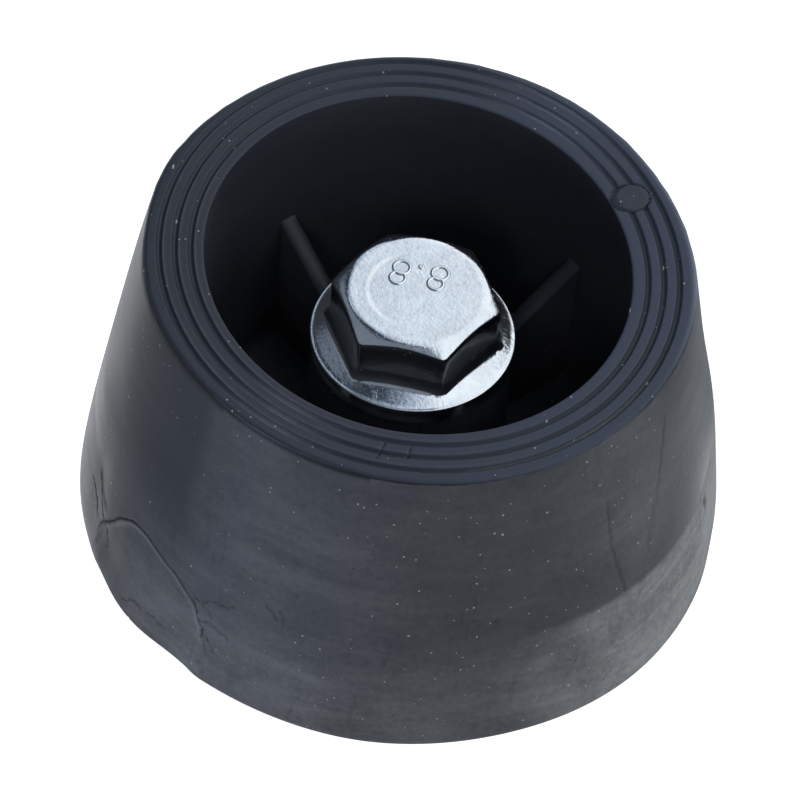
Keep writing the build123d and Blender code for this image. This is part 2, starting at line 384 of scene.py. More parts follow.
def torn(azimuth, height, amount):
    """Moves azimuth and height a little to and fro, so that a line drawn there comes out ragged."""
    u = azimuth * 0.49     # millimetres along the side
    azimuth = azimuth + amount * (0.3 * np.sin(3.1 * height + 1.7) + 0.2 * np.sin(8.3 * height + 0.4 * u))
    return azimuth, height + amount * (0.12 * np.sin(2.9 * u) + 0.08 * np.sin(7.7 * u + height))


def crease_mask(azimuth, height):
    """1 along the fold's crease, less in the cracks beside it and the scuffs further round; as colour it
    paints shade into crease and cracks.
    """
    near_fold = (azimuth > FOLD_SPAN[0]) & (azimuth < FOLD_SPAN[1]) & (height < FOLD_TOP)
    mask = np.zeros(azimuth.shape)
    a, h = azimuth[near_fold], height[near_fold]
    ragged = torn(a, h, 0.25 + 0.9 * smooth(a, 231, 236))
    lines = smooth(h, 3.5, 7.5) * bell(distance_to_path(*ragged, FOLD_PATH), 0.11)
    for crack in CRACKS:
        near = distance_to_path(*torn(a, h, 0.8), crack)
        lines = np.maximum(lines, 0.6 * bell(near, 0.08))
    mask[near_fold] = lines
    for darkness, width, path in SCUFFS_AND_SHADE:
        middle, level = np.mean(path, axis=0)
        near = (np.abs(azimuth - middle) < 9) & (np.abs(height - level) < 9)
        away = distance_to_path(*torn(azimuth[near], height[near], 0.5), path)
        mask[near] = np.maximum(mask[near], darkness * bell(away, width))
    return mask


def shape_side(azimuth, height):
    """How far the side stands out from its moulded radius, in millimetres."""
    out = 0.03 * ripple(azimuth, height) * smooth(height, 0.5, 3)
    edge = fold_height(azimuth)
    away = distance_to_path(azimuth, height, FOLD_PATH)
    dents = 0.22 * bell(azimuth - 209.5, 5.5) + 0.40 * bell(azimuth - 229, 6.5)
    step = 0.20 * smooth(away, 0.05, 0.8) * smooth(height, 1, 5)
    sunk = step + dents * (1 - 0.6 * smooth(height, 1, 8)) * smooth(away, 0.9, 3.0)
    uneven = 0.06 * np.sin(0.19 * azimuth + 0.5 * height) + 0.04 * np.sin(0.37 * azimuth - 0.9 * height)
    out += np.where(height < edge, uneven * smooth(away, 0.5, 2) - sunk, 0)
    pulled = np.exp(-(((azimuth - 201) / 3.5) ** 2) - ((height - 8) / 4.5) ** 2)
    worn_foot = 0.14 * bell(height, 1.6) * smooth(facing(azimuth, 215), 0.6, 0.9)
    return out - 0.12 * pulled - worn_foot - 0.16 * crease_mask(azimuth, height)


def fold_lip_highlight(azimuth, height):
    """1 along the edge just inside the fold, where a painted highlight goes."""
    edge = fold_height(azimuth)
    away = distance_to_path(azimuth, height, FOLD_PATH)
    return np.where(height < edge, bell(away - 0.42, 0.28), 0) * smooth(height, 3, 7)


def land_cracks(radius, azimuth):
    """Depth of the short cracks across the lands."""
    depth = np.zeros(radius.shape)
    for (r0, a0), (r1, a1) in LAND_CRACKS:
        along = np.clip((radius - r0) / (r1 - r0), 0, 1)
        across = np.radians(azimuth - a0 - (a1 - a0) * along) * radius
        beyond = np.maximum(np.maximum(r0 - radius, radius - r1), 0)
        depth = np.maximum(depth, 0.14 * np.exp(-((across / 0.07) ** 2) - (beyond / 0.08) ** 2))
    return depth


def edge_wear(azimuth):
    """Small chips and swellings of the floor face's outer edge, between about -1 and 1."""
    a = np.radians(azimuth)
    chips = 0.4 * np.sin(23 * a) * np.sin(5 * a + 1) + 0.35 * np.sin(41 * a + 2) * np.sin(3 * a)
    return chips + 0.25 * np.sin(67 * a + 1)


def from_mark(x, y):
    """Distance from the ejector mark's middle as a share of its half length, then along and across it."""
    turn = math.radians(MARK_AZIMUTH)
    along = x * math.cos(turn) + y * math.sin(turn) - MARK_ORBIT
    across = y * math.cos(turn) - x * math.sin(turn)
    return np.hypot(along / MARK_ALONG, across / MARK_ACROSS), along, across


def face_depth(x, y, radius, azimuth):
    """Depth of everything cut or pressed into the floor face: grooves, ejector mark, nick and cracks."""
    share, along, across = from_mark(x, y)
    worn = 1 - 0.5 * bell(azimuth - 54, 18)
    grooves = worn * groove_depth(radius + 0.012 * edge_wear(azimuth * 0.6)) * smooth(share, 0.98, 1.06)
    rim = 0.17 * bell(share - 1, 0.05)
    from_nick = np.hypot((along - 0.3) / 1.65, (across + 0.1) / 1.5)
    nick = 0.13 * smooth(-share, -1.0, -0.95) * smooth(from_nick, 0.94, 1.04)
    return grooves + rim + nick + land_cracks(radius, azimuth)


def rim_growth(azimuth):
    """How far the outer land has spread, in millimetres."""
    swellings = ((0.25, 0, 22), (0.17, 160, 12), (0.20, 197, 15), (0.16, 300, 50))
    return 0.10 + sum(size * around(azimuth, middle, reach) for size, middle, reach in swellings)


def base_growth(azimuth, height):
    """How far the side stands out, mostly near the mounting face: the moulding is out of round."""
    growth = 0.50 * around(azimuth, 317, 25) + 0.20 * around(azimuth, 272, 18)
    growth = growth + 0.42 * around(azimuth, 217, 12)
    growth -= 0.14 * around(azimuth, 175, 10) + 0.22 * around(azimuth, 353, 8)
    return growth * (1 - smooth(height, 7, 24)) + 0.28 * around(azimuth, 6, 14) * bell(height - 14, 7)


def take_set(x, y, z, radius, azimuth, height):
    """Moves points as the worn foot has given way: out of round, face sloping, outer land rolled over."""
    oval = OVAL * np.cos(2 * np.radians(azimuth - OVAL_AZIMUTH)) * smooth(height, 14, FOOT_HEIGHT)
    shift = MOUTH_SHIFT * facing(azimuth, MOUTH_SHIFT_AZIMUTH)
    oval += shift * (radius < 19) * smooth(height, 24, FOOT_HEIGHT)
    oval += rim_growth(azimuth) * smooth(radius, 22.78, 23.3) * smooth(height, 18, 30)
    oval += base_growth(azimuth, height) * smooth(radius, 20, 26)
    droop = around(azimuth, DROOP_AZIMUTH, 38) * smooth(radius, 22.75, 23.6)
    droop = droop * smooth(height, 26, FOOT_HEIGHT)
    scale = 1 + (oval - DROOP_IN * droop) / radius
    slope = (SETTLE_X * x + SETTLE_Y * y) * (height / FOOT_HEIGHT) * smooth(radius, 9.5, 15)
    return x * scale, y * scale, z + slope - DROOP_DOWN * droop


def shape_foot(points, height):
    """Presses the grooves, the fold and the wear into the grid of the foot, given each row's height."""
    x, y, z = points[..., 0], points[..., 1], points[..., 2]
    radius = np.hypot(x, y)
    azimuth = np.degrees(np.arctan2(y, x)) % 360
    height = np.broadcast_to(height[:, None], radius.shape)
    on_side = (radius > side_radius(np.clip(height, 0, RIM_HEIGHT)) - 0.1) & (height < RIM_HEIGHT - 0.1)
    out = np.where(on_side, shape_side(azimuth, height), 0)
    near_rim = bell(height - FOOT_HEIGHT + 0.2, 0.35) * (radius > RIM_RADIUS - RIM_ROUND)
    scale = 1 + (out + 0.05 * edge_wear(azimuth) * near_rim) / radius
    on_face = (height > FOOT_HEIGHT - 1e-6) & (radius > RECESS_RADIUS)
    z = z - np.where(on_face, face_depth(x, y, radius, azimuth), 0)
    x, y, z = take_set(x * scale, y * scale, z, radius, azimuth, height)
    return np.stack([x, y, z + FOOT_LOW], axis=-1)


def rib(azimuth):
    """One gusset from the boss to the wall. Its top falls towards the boss."""
    wall = RECESS_RADIUS - (FOOT_HEIGHT - RIB_AT_WALL) * DRAFT
    half, ease = RIB_THICKNESS / 2, 0.22
    rows = []
    for reach in np.linspace(BOSS_RADIUS - RIB_BITE, wall + RIB_BITE, 20):
        top = RIB_AT_WALL - (wall - reach) * RIB_FALL
        section = [(-half, WEB - 0.5), (half, WEB - 0.5), (half, top - ease)]
        section += [(half - ease, top), (ease - half, top), (-half, top - ease)]
        rows.append([(reach, across, FOOT_LOW + up) for across, up in section])
    turn = np.array(Matrix.Rotation(math.radians(azimuth), 3, "Z"))
    return grid_mesh("rib", np.array(rows) @ turn.T, closed=False)


def rubber_foot():
    """The moulded cup with its four gussets, and its marks painted on."""
    profile = np.array(foot_profile())
    grid = turned_grid(profile, foot_angles())
    foot = grid_mesh("rubber_body", shape_foot(grid, profile[:, 1]), closed=True)
    unite(foot, [rib(RIB_AZIMUTH + 360 / RIBS * i) for i in range(RIBS)])
    foot.data.shade_smooth()
    foot.data.set_sharp_from_angle(angle=math.radians(50))
    paint_masks(foot)
    return foot


# Bloom on the side, partly painted highlight where the outline and lower edges catch light, as (azimuth,
# height, reach in azimuth, reach in height, amount)
BLOOM_AND_HIGHLIGHT_PATCHES = (
    (243, 18, 14, 15, 0.16), (262, 14, 13, 22, 0.06), (316, 26, 12, 5, 0.07), (219, 4, 19, 9, 0.20),
    (323, 19, 10, 7, 0.12), (300, 2, 34, 5, 0.11), (242, 3, 26, 6, 0.12), (341, 29, 9, 6, -0.12),
    (60, 12, 24, 10, 0.06), (110, 20, 26, 9, -0.04), (150, 9, 20, 8, 0.08), (30, 24, 15, 6, 0.05),
    (238, 4, 26, 5, 0.13), (330, 5, 24, 4, 0.05),
)
# Upper limit of the wiped band round the foot, which also carries painted highlight, as (azimuth, height)
WIPED_AND_HIGHLIGHT_BAND = (
    (0, 11.5), (60, 10.5), (120, 9.0), (180, 11.0), (200, 10.5),
    (262, 8.0), (290, 11.5), (300, 12.2), (345, 11.4), (360, 11.5),
)


def bloom_and_highlight_mask(azimuth, height):
    """How much the side is greyed: patches of bloom and painted highlight, a painted dark reflection, and
    a band wiped paler lower down with painted highlight.
    """
    amount = np.full(azimuth.shape, 0.10)
    for middle, level, reach, rise, strength in BLOOM_AND_HIGHLIGHT_PATCHES:
        amount += strength * around(azimuth, middle, reach) * bell(height - level, rise)
    # Painted dark reflection high on the left side: the bloom is taken away there
    painted_dark_reflection = smooth(azimuth, 194, 204) * (1 - smooth(azimuth, 225, 230)) * smooth(height, 12, 21)
    amount = amount * (1 - painted_dark_reflection)
    limit = np.interp(azimuth, *np.array(WIPED_AND_HIGHLIGHT_BAND).T)
    # Painted highlight low on the front right and back left, where the outline catches grazing light
    front_right = smooth(facing(azimuth, 345), 0.55, 1.0) * (0.48 + 0.28 * around(azimuth, 352, 20))
    back_left = smooth(facing(azimuth, 180), 0.9, 0.99) * (0.20 - 0.10 * smooth(height, 2, 9))
    wiped_and_highlight = smooth(limit - height, -0.3, 0.5) * (0.03 + front_right + back_left)
    return np.clip(amount + wiped_and_highlight, 0, 1)


def paint_masks(foot):
    """Marks each point of the rubber: how much painted shade its dark line gets, and how much bloom,
    film, painted highlight and sheen it has.
    """
    mesh = foot.data
    co = np.zeros(len(mesh.vertices) * 3, np.float32)
    mesh.vertices.foreach_get("co", co)
    x, y, z = co.reshape(-1, 3).T / MM
    radius, azimuth, height = np.hypot(x, y), np.degrees(np.arctan2(y, x)) % 360, z - FOOT_LOW
    outside = radius > side_radius(np.clip(height, 0, RIM_HEIGHT)) - 1.5
    outside = outside & (height < RIM_HEIGHT - 0.3)
    # Where each point lay before the foot took its set, so that the marks follow the worn shape
    moulded = radius - OVAL * np.cos(2 * np.radians(azimuth - OVAL_AZIMUTH))
    rolled = moulded - rim_growth(azimuth) * smooth(moulded, 22.78, 23.3)
    from_mouth = moulded - RECESS_RADIUS - MOUTH_SHIFT * facing(azimuth, MOUTH_SHIFT_AZIMUTH)
    nearest = np.abs(moulded[:, None] - GROOVES).argmin(axis=1)
    from_groove = moulded - np.array(GROOVES)[nearest]
    share = from_mark(x * moulded / np.maximum(radius, 1), y * moulded / np.maximum(radius, 1))[0]
    face = (from_mouth > 0.03) & ~outside & (height > RIM_HEIGHT - 1.5)
    level = height - (SETTLE_X * x + SETTLE_Y * y)
    land = face & (level > FOOT_HEIGHT - 0.12)

    # Painted shade: a dark line under the rim's front edge, in the ejector mark's outline and in the
    # grooves
    front = smooth(facing(azimuth, 268), -0.05, 0.3)
    rim_edge_shade = 0.85 * front * bell(rolled - RIM_RADIUS + 0.06, 0.11)
    mark_outline_shade = 0.75 * bell(share - 1.01, 0.05)
    grooved = smooth(share, 0.98, 1.06) * (1 - around(azimuth, 54, 16))
    groove_shade = 0.4 * grooved * bell(from_groove + 0.12, 0.08)
    dark = np.maximum(np.maximum(rim_edge_shade, mark_outline_shade), groove_shade)

    # Painted highlights: light lines on the groove lips, the rim edge facing the light, and glints on the
    # groove walls at two azimuths
    lip = 0.26 * grooved * around(azimuth, 205, 65) * bell(from_groove + 0.33, 0.04)
    lit_edge = 0.5 * smooth(facing(azimuth, 62), 0.0, 0.5) * smooth(rolled, 22.95, 23.55)
    glints = 0.26 * around(azimuth, 62, 14) + 0.34 * around(azimuth, 241, 11)
    # Painted light in the recess, more at the front and low down, and painted glints on the face's
    # grooves
    recess_painted_light = np.maximum(smooth(facing(azimuth, 255), -0.2, 0.8), 1 - smooth(height, 6, 16))
    inside = np.where(face & ~land, 0.015 + glints, 0.015 + 0.10 * recess_painted_light * (height > 0.5))
    # Side bloom, partly painted highlight, plus the painted highlight on the fold's lip
    side_bloom_and_highlight = bloom_and_highlight_mask(azimuth, height) + 0.40 * fold_lip_highlight(azimuth, height)

    # Bluish film, partly painted sheen: lighter on lands facing the right, and with painted glints in the
    # grooves
    side_film = 0.5 * bell(azimuth - 236, 26) * smooth(height, -8, 9)
    groove_film_and_glints = np.where(face, 0.35 + 1.5 * glints, 0)
    face_film_and_sheen = np.where(land, 0.66 + 0.34 * facing(azimuth, 5), groove_film_and_glints)
    face_film_and_sheen = face_film_and_sheen * (0.55 + 0.45 * smooth(share, 0.9, 1.0))
    masks = {
        "crease": np.where(outside, crease_mask(azimuth, height), np.where(face, dark, 0)),
        "bloom": np.where(outside, side_bloom_and_highlight, face * (lip + lit_edge) + ~land * inside),
        "film": np.where(outside, side_film, face_film_and_sheen),
    }
    for name, values in masks.items():
        mesh.attributes.new(name, "FLOAT", "POINT").data.foreach_set("value", values.astype(np.float32))


# ---------------------------------------------------------------- bolt, nuts, washers

def round_angles():
    """Columns of a turned steel piece, in degrees."""
    return np.arange(COLUMNS) * 360 / COLUMNS


def hex_radius(angles, corner_azimuth=0.0):
    """Radius of a hexagon with eased corners at each angle."""
    from_flat = (angles - corner_azimuth) % 60 - 30
    return np.minimum(ACROSS_FLATS / 2 / np.cos(np.radians(from_flat)), CORNER_RADIUS)


def rows_to_grid(rows, angles):
    """Grid from rows of (radius, height), each a number or one value per column."""
    a = np.radians(angles)
    ones = np.ones_like(a)
    made = [np.stack([r * ones * np.cos(a), r * ones * np.sin(a), h * ones], axis=-1) for r, h in rows]
    return np.array(made)


def thread_rows(angles):
    """Rows of the stud from its pointed tip up to the end of its thread."""
    rows = []
    for height in np.arange(TIP + 0.1, THREAD_TOP, THREAD_PITCH / 12):
        phase = (height / THREAD_PITCH - angles / 360) % 1
        flank = np.clip((np.abs(phase - 0.5) - 0.07) / 0.3, 0, 1)
        radius = THREAD_RADIUS - THREAD_DEPTH * smooth(flank, 0, 1)
        rows.append((np.minimum(radius, THREAD_RADIUS - 1.0 + height - TIP), height))
    return rows


def cone_height(radius):
    """Height of the flange's cone at a radius."""
    return HEAD_SEAT + FLANGE_EDGE + (FLANGE_RADIUS - radius) * FLANGE_SLOPE


def flange_rows(hexagon):
    """Rows from the bearing face round the flange's rim and up its cone to the head."""
    low, ease = HEAD_SEAT, 0.22
    rows = [(4.6, low), (6.5, low), (8.0, low)]
    rows += arc((FLANGE_RADIUS - ease, low + ease), ease, -90, 0, 4)
    ledge = cone_height(FLANGE_RADIUS - 0.26)
    rows += arc((FLANGE_RADIUS - 0.12, ledge - 0.12), 0.12, 0, 90, 4)
    rows.append((FLANGE_RADIUS - 0.15, ledge))
    start = hexagon + HEAD_FLARE
    for share in np.linspace(0, 1, 6):
        radius = (FLANGE_RADIUS - 0.26) * (1 - share) + start * share
        rows.append((radius, cone_height(radius)))
    return rows


def head_rows(angles):
    """Rows of the head: flare, wrench flats, corner chamfer, and the top with its shallow dish."""
    hexagon = hex_radius(angles, HEAD_AZIMUTH)
    rows = flange_rows(hexagon)
    foot = cone_height(hexagon + HEAD_FLARE)
    for t in np.linspace(0, 1, 8)[1:]:
        rows.append((hexagon + HEAD_FLARE * (1 - t) ** 2, foot + FLARE_HEIGHT * t))
    shoulder = HEAD_TOP - (hexagon - HEAD_DISC) * CHAMFER
    for share in (0.4, 0.8):
        rows.append((hexagon, (foot + FLARE_HEIGHT) * (1 - share) + shoulder * share))
    rows += [(hexagon, shoulder - 0.06), (hexagon - 0.05, shoulder + 0.02)]
    for share in (0.12, 0.3, 0.5, 0.7, 0.88):
        bulge = 0.07 * math.sin(math.pi * share)
        level = shoulder + (HEAD_TOP - shoulder) * share + bulge
        rows.append((hexagon * (1 - share) + HEAD_DISC * share, level))
    rows += [(HEAD_DISC, HEAD_TOP - 0.02), (HEAD_DISC - 0.1, HEAD_TOP)]
    dished = 0.06 + 0.94 * smooth(np.cos(np.radians(angles - 176)), 0.25, 0.9)
    for radius in (5.6, 5.2, 4.8, 4.55, 4.4, 4.3, 4.2, 4.1, 4.0, 3.8, 3.2, 2.4, 1.6, 0.8):
        rim = bell(radius - 4.4, 0.12)
        round_middle = smooth(radius, 0.8, 3.9)
        depth = dished * round_middle + 0.45 * (1 - round_middle)
        sunk = 0.035 * depth * smooth(-radius, -4.35, -4.1)
        rows.append((radius, HEAD_TOP + dished * 0.007 * rim - sunk))
    return rows


def loop(centre, radius, tube):
    """Raised loop on the head's top, slightly taller than wide and part sunk into it."""
    sunk = HEAD_TOP - 0.07
    around_tube = np.radians(range(0, 360, 30))
    profile = [(radius + tube * math.cos(a), sunk + 0.85 * tube * math.sin(a)) for a in around_tube]
    grid = turned_grid(profile, np.arange(0, 360, 12))
    grid[..., 1] *= 1.04
    grid[..., :2] += centre
    return grid_mesh("loop", grid, closed=True)


def grade_marks():
    """Plain strength numbers, read from the far side: two eights of two loops each, and a point."""
    marks = []
    for x, y, lean in ((-1.6, 1.84, 13), (1.72, 1.55, 15)):
        way = Vector((math.sin(math.radians(lean)), math.cos(math.radians(lean))))
        marks.append(loop((x + 0.62 * way.x, y + 0.62 * way.y), 0.72, 0.19))
        marks.append(loop((x - 0.62 * way.x, y - 0.62 * way.y), 0.66, 0.19))
    marks.append(loop((0.2, 2.72), 0.14, 0.17))
    return marks


def flange_bolt():
    """Bolt from the tip of its thread to the dish in its head, with its strength numbers."""
    angles = round_angles()
    rows = [(1.2, TIP), (THREAD_RADIUS - 1.05, TIP)] + thread_rows(angles)
    rows += [(SHANK_RADIUS - 0.15, THREAD_TOP), (SHANK_RADIUS, THREAD_TOP + 0.3)]
    rows += [(SHANK_RADIUS, JOURNAL_START - 0.2), (JOURNAL_RADIUS, JOURNAL_START)]
    rows.append((JOURNAL_RADIUS, HEAD_SEAT))
    bolt = grid_mesh("bolt", rows_to_grid(rows + head_rows(angles), angles), closed=False)
    unite(bolt, grade_marks())
    bolt.data.shade_smooth()
    bolt.data.set_sharp_from_angle(angle=math.radians(40))
    return bolt


def plain_washer(name, node):
    """Punched washer: one edge rounded by the punch, the other nearly square."""
    low, high, outer = levels(node)
    bore = WASHER_BORE
    profile = line((outer, low + 0.1), (outer, high - 0.35), 0.6)
    profile += arc((outer - 0.35, high - 0.35), 0.35, 0, 90, 5)
    profile += line((outer - 0.35, high), (bore + 0.15, high), 1.2)
    profile += [(bore + 0.15, high), (bore, high - 0.15), (bore, low + 0.1), (bore + 0.1, low)]
    profile += line((bore + 0.1, low), (outer - 0.1, low), 1.2)[1:] + [(outer - 0.1, low)]
    return grid_mesh(name, turned_grid(profile, round_angles()), closed=True)


def hex_nut(name, low, high, bore, collar=None):
    """Hexagon nut with turned corners and a chamfered bore, and below it a crimped collar if given."""
    angles = round_angles()
    hexagon = hex_radius(angles)
    flat = ACROSS_FLATS / 2
    turn = (hexagon - flat + 0.12) * CHAMFER
    rows = [(flat - 0.12, low), (hexagon - 0.03, low + turn), (hexagon, low + turn + 0.04)]
    rows += [(hexagon, (low + high) / 2), (hexagon, high - turn - 0.04), (hexagon - 0.03, high - turn)]
    rows += [(flat - 0.12, high), ((flat + bore) / 2, high), (bore + 0.35, high), (bore, high - 0.35)]
    if collar is None:
        rows += [(bore, low + 0.35), (bore + 0.35, low), ((flat + bore) / 2, low)]
    else:
        radius, end, lip = collar
        rows += [(bore, low), (NYLON_RADIUS, low), (NYLON_RADIUS, end + 0.3)]
        rows += [(lip, end + 0.2), (lip, end)]
        rows += arc((radius - 0.7, end + 0.7), 0.7, -90, 0, 6)
        rows += [(radius, low - 0.15), (radius + 0.12, low)]
    return grid_mesh(name, rows_to_grid(rows, angles), closed=True)


def nylon_ring():
    """Ring inside the retaining nut's collar that grips the thread."""
    low, high, outer = levels("nylon_insert")
    profile = [(outer, low), (outer, high), (3.65, high), (3.6, high - 0.2), (3.6, low + 0.3), (3.9, low)]
    return grid_mesh("nylon_ring", turned_grid(profile, round_angles()), closed=True)


def base_ring():
    """Steel disc moulded into the mounting face."""
    low, high, outer = levels("base_washer")
    bore, low_face = WASHER_BORE, low + 0.02
    profile = [(outer, low_face), (outer, high), (bore + 0.2, high)]
    profile += [(bore, high - 0.2), (bore, low + 0.3), (bore + 0.3, low_face)]
    profile += line((bore + 0.3, low_face), (outer, low_face), 1.5)[1:]
    return grid_mesh("base_ring", turned_grid(profile, round_angles()), closed=True)


# ---------------------------------------------------------------- materials

class Wire:
    """A node's output. Arithmetic on it adds Math nodes."""

    def __init__(self, shader, socket):
        self.shader, self.socket = shader, socket

    def math(self, operation, a, b):
        return self.shader.math(operation, a, b)

    def __add__(self, other):
        return self.math("ADD", self, other)

    def __sub__(self, other):
        return self.math("SUBTRACT", self, other)

    def __rsub__(self, other):
        return self.math("SUBTRACT", other, self)

    def __mul__(self, other):
        return self.math("MULTIPLY", self, other)

    __radd__, __rmul__ = __add__, __mul__

    def above(self, level):
        return self.math("GREATER_THAN", self, level)

    def below(self, level):
        return self.math("LESS_THAN", self, level)


class Shader:
    """Node tree of one material or of the world."""

    def __init__(self, owner):
        owner.use_nodes = True
        self.owner, self.tree = owner, owner.node_tree

    def node(self, kind, settings=None, sockets=None, output=0):
        """Adds a node, sets its settings and then its sockets, and gives one of its outputs."""
        made = self.tree.nodes.new(kind)
        for name, value in (settings or {}).items():
            if name == "stops":
                self.set_stops(made.color_ramp, value)
            else:
                setattr(made, name, value)
        for name, value in (sockets or {}).items():
            self.feed(made.inputs[name], value)
        return Wire(self, made.outputs[output])

    def set_stops(self, ramp, stops):
        while len(ramp.elements) < len(stops):
            ramp.elements.new(1.0)
        for element, (place, colour) in zip(ramp.elements, stops):
            element.position, element.color = place, (*colour, 1.0)

    def feed(self, socket, value):
        if isinstance(value, Wire):
            self.tree.links.new(value.socket, socket)
        else:
            socket.default_value = value

    def place(self, stretch=(1, 1, 1)):
        """Object coordinates in millimetres, stretched if asked."""
        where = self.node("ShaderNodeTexCoord", output="Object")
        scale = [s / MM for s in stretch]
        return self.node("ShaderNodeVectorMath", {"operation": "MULTIPLY"}, {0: where, 1: scale})

    def math(self, operation, a, b):
        return self.node("ShaderNodeMath", {"operation": operation}, {0: a, 1: b})

    def noise(self, size, detail=3.0, rough=0.5, place=None, warp=0.0):
        """Noise whose features are about size millimetres across."""
        sockets = {"Vector": place or self.place(), "Scale": 1 / size}
        sockets.update({"Detail": detail, "Roughness": rough, "Distortion": warp})
        return self.node("ShaderNodeTexNoise", None, sockets)

    def speck(self, per_mm, radius, rarity, stretch=(1, 1, 1)):
        """1 in small scattered spots of mixed size, of up to radius cells, in a few of the cells."""
        sockets = {"Vector": self.place(stretch), "Scale": per_mm, "Randomness": 1.0}
        near = self.node("ShaderNodeTexVoronoi", None, sockets, output="Distance")
        luck = self.node("ShaderNodeTexVoronoi", None, sockets, output="Color")
        red = self.node("ShaderNodeSeparateColor", None, {0: luck}, output=0)
        green = self.node("ShaderNodeSeparateColor", None, {0: luck}, output=1)
        return near.below(radius * (0.2 + 0.8 * green)) * red.above(rarity)

    def step(self, value, low, high):
        """0 below low, 1 above high, and a smooth step between."""
        sockets = {"Value": value, "From Min": low, "From Max": high}
        return self.node("ShaderNodeMapRange", {"interpolation_type": "SMOOTHSTEP"}, sockets)

    def spread(self, value, low, high, to_low=0.0, to_high=1.0):
        """Maps low..high of a value onto a new range, clamped."""
        sockets = {"Value": value, "From Min": low, "From Max": high}
        sockets.update({"To Min": to_low, "To Max": to_high})
        return self.node("ShaderNodeMapRange", None, sockets)

    def mix(self, share, a, b):
        """Colour between a and b."""
        return self.node("ShaderNodeMix", {"data_type": "RGBA"}, {0: share, 6: a, 7: b}, output=2)

    def bump(self, height, distance):
        """Relief of a height between 0 and 1, distance millimetres deep."""
        sockets = {"Height": height, "Distance": distance * MM, "Strength": 1.0}
        return self.node("ShaderNodeBump", None, sockets)


def surface(name, **values):
    """Material with a Principled shader; values are fed to its sockets by name later."""
    shader = Shader(bpy.data.materials.new(name))
    shader.principled = shader.tree.nodes["Principled BSDF"]
    for key, value in values.items():
        shader.feed(shader.principled.inputs[key.replace("_", " ")], value)
    return shader


def grey(r, g, b):
    """Opaque colour, here always close to grey."""
    return (r, g, b, 1.0)


def black_rubber():
    """Satin moulded rubber: black inside, a bluish film with painted sheen on the lands, bloom with
    painted highlights, smears and dust outside, painted shade in its lines.
    """
    s = surface("black_rubber", Specular_IOR_Level=0.26)
    bloom, crease, film = (
        s.node("ShaderNodeAttribute", {"attribute_name": name}, output="Fac")
        for name in ("bloom", "crease", "film")
    )
    cloud = s.spread(s.noise(6, 4, 0.6), 0.32, 0.68)
    smear = s.spread(s.noise(4, 5, 0.62, s.place((0.35, 0.35, 1.9)), 0.5), 0.46, 0.74)
    rub = s.spread(s.noise(2.2, 3, 0.6, s.place((1.0, 1.0, 0.3)), 1.2), 0.60, 0.70)
    mottle = s.noise(0.55, 3, 0.65)
    grain = s.noise(0.16, 2, 0.6)
    dust = s.speck(1.9, 0.19, 0.86)
    fine_dust = s.speck(4.5, 0.20, 0.80)
    lint = s.speck(1.1, 0.13, 0.90, (1, 0.35, 1))
    pits = s.speck(1.3, 0.14, 0.88)
    black = s.mix(mottle, grey(0.019, 0.022, 0.030), grey(0.026, 0.029, 0.038))
    # Bluish film colour, partly painted sheen
    coated_and_sheen = s.mix(film * (0.8 + 0.4 * mottle), black, grey(0.052, 0.063, 0.094))
    # Pale grey of the bloom and of the painted highlights
    chalk_and_highlight = s.mix(s.spread(mottle, 0.3, 0.7), grey(0.26, 0.265, 0.275), grey(0.315, 0.31, 0.30))
    chalk_and_highlight = s.mix(film, chalk_and_highlight, grey(0.22, 0.25, 0.33))
    patchy = 0.12 + 0.55 * cloud + 0.6 * smear + 0.6 * mottle + 0.5 * grain - 0.3 * rub + 0.5 * fine_dust
    tone = s.mix(bloom * patchy, coated_and_sheen, chalk_and_highlight)
    # Painted shade: the fold crease, cracks, grooves, mark outline and front rim edge darken towards near
    # black; scuffs are real marks
    tone = s.mix(crease * 0.85, tone, grey(0.006, 0.006, 0.008))
    tone = s.mix(pits * 0.6, tone, grey(0.010, 0.010, 0.012))
    settled = s.math("MAXIMUM", dust, lint) * 0.75 * s.step(bloom + film, 0.03, 0.10)
    tone = s.mix(settled, tone, grey(0.46, 0.46, 0.45))
    roughness = 0.30 + bloom * 0.40 + film * 0.08 + smear * 0.06 + mottle * 0.06 + crease * 0.3
    height = grain * 0.35 + mottle * 0.5 + smear * 0.4 + dust * 1.2 - pits
    s.feed(s.principled.inputs["Base Color"], tone)
    s.feed(s.principled.inputs["Roughness"], roughness)
    s.feed(s.principled.inputs["Normal"], s.bump(height, 0.03))
    return s.owner


def zinc_plate(name, tone, roughness, texture=1.0):
    """Bright zinc on steel: leathery grain on the forged head, less on cut pieces, cloudy sheen, pits."""
    s = surface(name, Metallic=1.0)
    level = s.node("ShaderNodeSeparateXYZ", None, {0: s.place()}, output=2)
    forged = s.spread(level, 20, 30, 0.3, 1.0)
    grain = s.noise(0.34, 3, 0.6)
    cloud = s.spread(s.noise(1.6, 3, 0.55), 0.35, 0.7)
    marks = s.spread(s.noise(0.5, 3, 0.7, s.place((1, 0.8, 0.8)), 1.5), 0.60, 0.66)
    pits = s.speck(2.2, 0.16, 0.8)
    darker = tuple(c * 0.88 for c in tone)
    colour = s.mix(cloud, grey(*tone), grey(*darker))
    pitted = grey(*(c * 0.5 for c in tone))
    s.feed(s.principled.inputs["Base Color"], s.mix(pits * 0.5, colour, pitted))
    s.feed(s.principled.inputs["Roughness"], roughness + cloud * 0.06 + marks * 0.08 + pits * 0.2)
    relief = (grain - pits * 0.6 + marks * 0.25) * forged
    s.feed(s.principled.inputs["Normal"], s.bump(relief, 0.020 * texture))
    return s.owner


